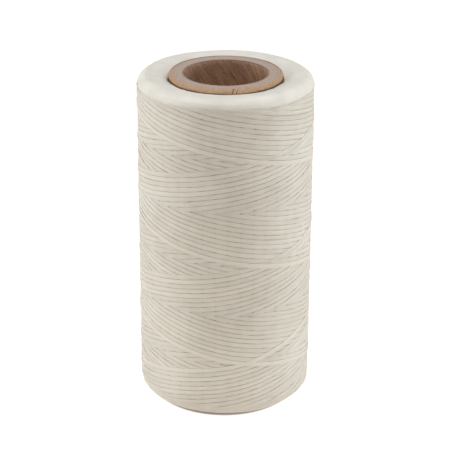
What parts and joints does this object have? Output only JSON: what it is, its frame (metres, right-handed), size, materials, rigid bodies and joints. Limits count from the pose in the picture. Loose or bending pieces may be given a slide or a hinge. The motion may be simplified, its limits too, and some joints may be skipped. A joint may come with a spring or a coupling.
{
  "type": "waxed thread spool",
  "caption": "Full cylindrical spool of flat waxed thread, cross-wound on a spiral-wound paper tube, with its loose end lying on the outside.",
  "frame": {"origin": "on the tube's axis, at its lower end face, which the spool stands on", "axes": "+Z along the tube's axis, up; -Y towards the side where the last pass down and the last pass up cross, at about a fifth of the height"},
  "size_m": [0.0762, 0.0762, 0.1492],
  "materials": {
    "liner_paper": "matte",
    "board_paper": "matte",
    "wrap_paper": "matte",
    "waxed_thread": "satin"
  },
  "bodies": {
    "spool": {"core_liner": "liner_paper", "core_ply_1": "board_paper", "core_ply_2": "board_paper", "core_ply_3": "board_paper", "core_ply_4": "board_paper", "core_ply_5": "board_paper", "core_ply_6": "board_paper", "core_wrap": "wrap_paper", "thread_start": "waxed_thread", "winding_inner_layers": "waxed_thread", "winding_outer_layers": "waxed_thread", "last_down_pass": "waxed_thread", "last_up_pass": "waxed_thread"},
    "loose_end": {"thread_tail": "waxed_thread"}
  },
  "joints": [
    {"name": "tail_peel", "type": "hinge", "parent": "spool", "child": "loose_end", "pos_m": [0.01888, 0.03271, 0.05363], "axis": [0, 0, -1], "range_deg": [0, 75]}
  ]
}
